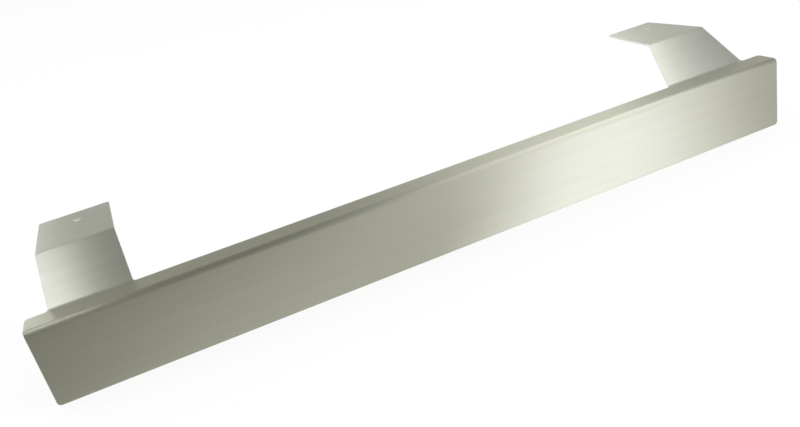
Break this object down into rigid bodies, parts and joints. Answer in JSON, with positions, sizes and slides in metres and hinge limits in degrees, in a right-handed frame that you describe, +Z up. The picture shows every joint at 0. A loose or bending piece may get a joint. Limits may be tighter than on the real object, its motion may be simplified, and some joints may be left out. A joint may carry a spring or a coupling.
{
  "type": "refrigerator door handle",
  "caption": "Flat metal door pull folded from sheet: a tall front plate, a narrow top strip and raised rear tabs with screw holes.",
  "frame": {"origin": "midway between the two screw holes, on the underside of the flanges", "axes": "+X along the bar to the right as seen from the front, +Y back from the front plate, +Z up through the screw holes"},
  "size_m": [0.5, 0.1, 0.0696],
  "materials": {
    "brushed_sheet": "brushed along the bar"
  },
  "bodies": {
    "root": {"folded_handle": "brushed_sheet"}
  },
  "joints": []
}
